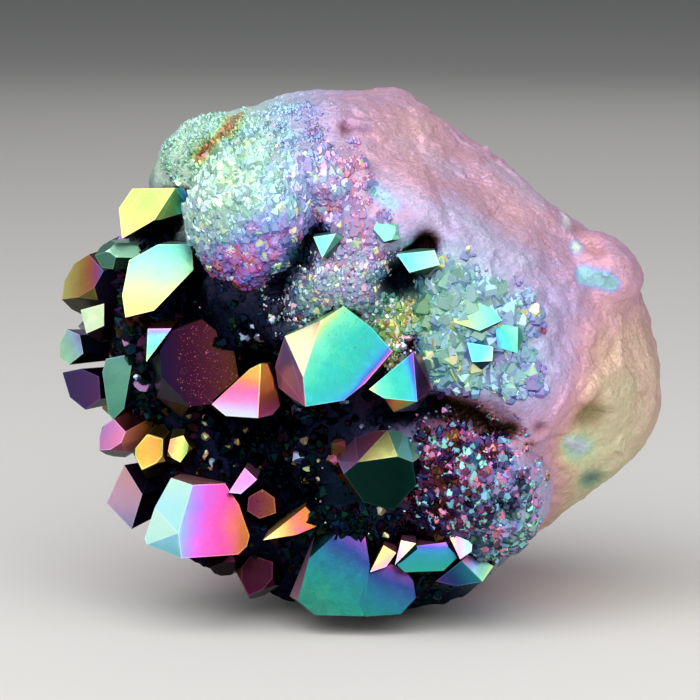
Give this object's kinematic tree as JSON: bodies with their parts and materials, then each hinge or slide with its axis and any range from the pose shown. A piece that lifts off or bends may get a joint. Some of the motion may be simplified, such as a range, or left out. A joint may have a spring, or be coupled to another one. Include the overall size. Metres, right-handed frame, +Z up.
{
  "type": "aura quartz cluster",
  "caption": "Rounded lump of broken quartz lined with pointed crystals, all under a thin iridescent metal film, standing on a flat cut.",
  "frame": {"origin": "middle of the box's underside, on the surface that the cluster rests on", "axes": "+X to the right along the longest way across, -Y to the front where the crystals are, +Z up"},
  "size_m": [0.05, 0.039, 0.0424],
  "materials": {
    "matrix": "satin, pearly thin metal film over broken massive quartz",
    "hero_turquoise": "glossy, iridescent thin metal film over a quartz crystal",
    "small_turquoise": "glossy, iridescent thin metal film over a quartz crystal",
    "orange_pink": "glossy, iridescent thin metal film over a quartz crystal",
    "dark_maroon": "glossy, iridescent thin metal film over a quartz crystal",
    "dark_green": "glossy, iridescent thin metal film over a quartz crystal",
    "yellow_top_left": "glossy, iridescent thin metal film over a quartz crystal",
    "mint_left": "glossy, iridescent thin metal film over a quartz crystal",
    "left_mint": "glossy, iridescent thin metal film over a quartz crystal",
    "left_olive": "glossy, iridescent thin metal film over a quartz crystal",
    "left_lime": "glossy, iridescent thin metal film over a quartz crystal",
    "far_left": "glossy, iridescent thin metal film over a quartz crystal",
    "left_violet": "glossy, iridescent thin metal film over a quartz crystal",
    "teal_column": "glossy, iridescent thin metal film over a quartz crystal",
    "magenta_low_left": "glossy, iridescent thin metal film over a quartz crystal",
    "peach_left": "glossy, iridescent thin metal film over a quartz crystal",
    "pink_left": "glossy, iridescent thin metal film over a quartz crystal",
    "gold_left": "glossy, iridescent thin metal film over a quartz crystal",
    "amber_left": "glossy, iridescent thin metal film over a quartz crystal",
    "pink_pyramid": "glossy, iridescent thin metal film over a quartz crystal",
    "maroon_pocket": "glossy, iridescent thin metal film over a quartz crystal",
    "gold_low": "glossy, iridescent thin metal film over a quartz crystal",
    "low_dark": "glossy, iridescent thin metal film over a quartz crystal",
    "green_bottom": "glossy, iridescent thin metal film over a quartz crystal",
    "bottom_row": "glossy, iridescent thin metal film over a quartz crystal",
    "bottom_block": "glossy, iridescent thin metal film over a quartz crystal",
    "low_right": "glossy, iridescent thin metal film over a quartz crystal",
    "side_upper": "glossy, iridescent thin metal film over a quartz crystal",
    "side_middle": "glossy, iridescent thin metal film over a quartz crystal",
    "side_low": "glossy, iridescent thin metal film over a quartz crystal",
    "side_back": "glossy, iridescent thin metal film over a quartz crystal",
    "shelf_pyramid": "glossy, iridescent thin metal film over a quartz crystal",
    "mint_block": "glossy, iridescent thin metal film over a quartz crystal",
    "right_flake": "glossy, iridescent thin metal film over a quartz crystal",
    "right_square": "glossy, iridescent thin metal film over a quartz crystal",
    "right_wedge": "glossy, iridescent thin metal film over a quartz crystal"
  },
  "bodies": {
    "root": {"matrix": "matrix", "hero_turquoise": "hero_turquoise", "small_turquoise": "small_turquoise", "orange_pink": "orange_pink", "dark_maroon": "dark_maroon", "dark_green": "dark_green", "yellow_top_left": "yellow_top_left", "mint_left": "mint_left", "left_mint": "left_mint", "left_olive": "left_olive", "left_lime": "left_lime", "far_left": "far_left", "left_violet": "left_violet", "teal_column": "teal_column", "magenta_low_left": "magenta_low_left", "peach_left": "peach_left", "pink_left": "pink_left", "gold_left": "gold_left", "amber_left": "amber_left", "pink_pyramid": "pink_pyramid", "maroon_pocket": "maroon_pocket", "gold_low": "gold_low", "low_dark": "low_dark", "green_bottom": "green_bottom", "bottom_row": "bottom_row", "bottom_block": "bottom_block", "low_right": "low_right", "side_upper": "side_upper", "side_middle": "side_middle", "side_low": "side_low", "side_back": "side_back", "shelf_pyramid": "shelf_pyramid", "mint_block": "mint_block", "right_flake": "right_flake", "right_square": "right_square", "right_wedge": "right_wedge"}
  },
  "joints": []
}
